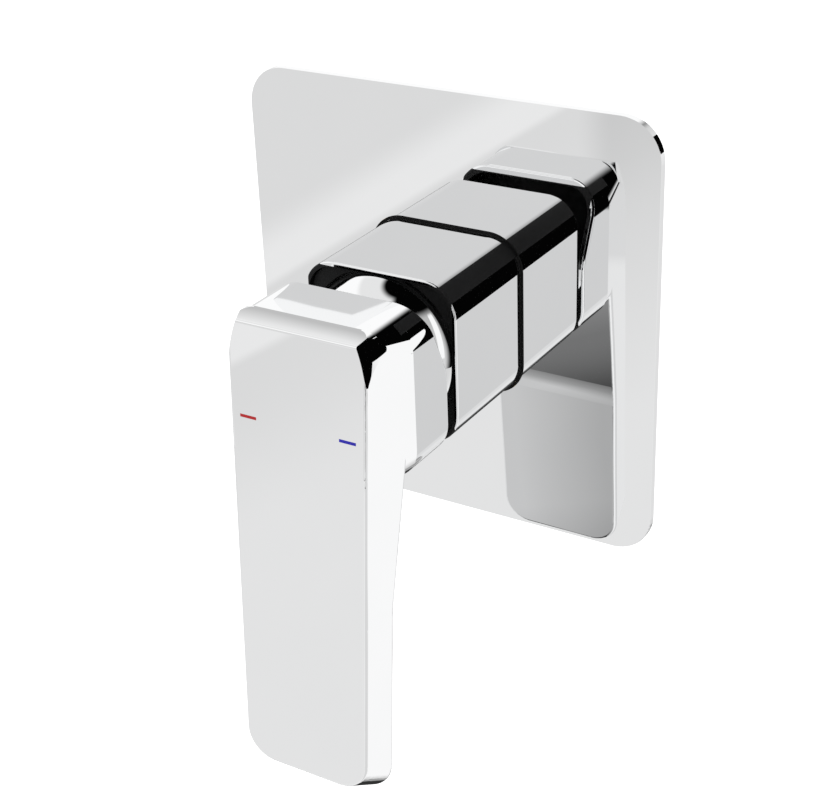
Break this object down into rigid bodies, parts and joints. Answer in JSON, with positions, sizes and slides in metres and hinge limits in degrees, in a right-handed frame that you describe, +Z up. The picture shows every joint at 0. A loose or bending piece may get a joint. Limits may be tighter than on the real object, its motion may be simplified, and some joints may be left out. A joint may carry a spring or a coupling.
{
  "type": "concealed shower mixer",
  "caption": "Wall-mounted concealed single-lever shower mixer with a square plate, square sleeve, flat lever, ceramic-disc cartridge and in-wall brass body.",
  "frame": {"origin": "on the valve axis, in the plane of the finished wall", "axes": "+X to the right seen from the room, +Y into the wall along the valve axis, +Z up"},
  "size_m": [0.12, 0.1142, 0.1653],
  "materials": {
    "chrome": "bright mirror plating",
    "brass": "forged and machined, satin",
    "steel": "turned and ground",
    "black_rubber": "moulded, matt",
    "grey_foam": "closed-cell foam",
    "red_fibre": "pressed fibre",
    "grey_plastic": "moulded, matt",
    "white_plastic": "moulded, matt",
    "orange_plastic": "moulded, matt",
    "ceramic": "lapped alumina",
    "red_enamel": "filled enamel",
    "blue_enamel": "filled enamel"
  },
  "bodies": {
    "fixed_body": {"wall_plate": "chrome", "plate_gasket": "grey_foam", "sleeve_lip": "black_rubber", "square_sleeve": "chrome", "dome_cover": "chrome", "temperature_stop_ring": "orange_plastic", "fixed_ceramic_disc": "ceramic", "cartridge_housing": "grey_plastic", "cartridge_base": "grey_plastic", "port_seals": "black_rubber", "cartridge_nut": "brass", "neck_o_rings": "black_rubber", "valve_body": "brass", "hot_inlet_nipple": "brass", "cold_inlet_nipple": "brass", "outlet_nipple": "brass", "blanking_plug": "brass", "port_washers": "red_fibre"},
    "rotor": {"cartridge_rotor": "white_plastic", "spindle_pin": "steel"},
    "lever": {"handle": "chrome", "hot_mark": "red_enamel", "cold_mark": "blue_enamel", "grub_screw": "steel", "grub_screw_cap": "chrome", "spindle": "steel", "spindle_insert": "white_plastic"},
    "mixing_disc": {"disc_carrier": "white_plastic", "moving_ceramic_disc": "ceramic"}
  },
  "joints": [
    {"name": "temperature_swivel", "type": "hinge", "parent": "fixed_body", "child": "rotor", "pos_m": [0, -0.025, 0], "axis": [0, 1, 0], "range_deg": [-50, 50]},
    {"name": "flow_lift", "type": "hinge", "parent": "rotor", "child": "lever", "pos_m": [0, -0.025, 0], "axis": [-1, 0, 0], "range_deg": [0, 25]},
    {"name": "disc_slide", "type": "slide", "parent": "rotor", "child": "mixing_disc", "axis": [0, 0, -1], "range_m": [0, 0.0054]}
  ],
  "couplings": [
    {"joint": "disc_slide", "follows": "flow_lift", "m_per_rad": 0.012107}
  ]
}
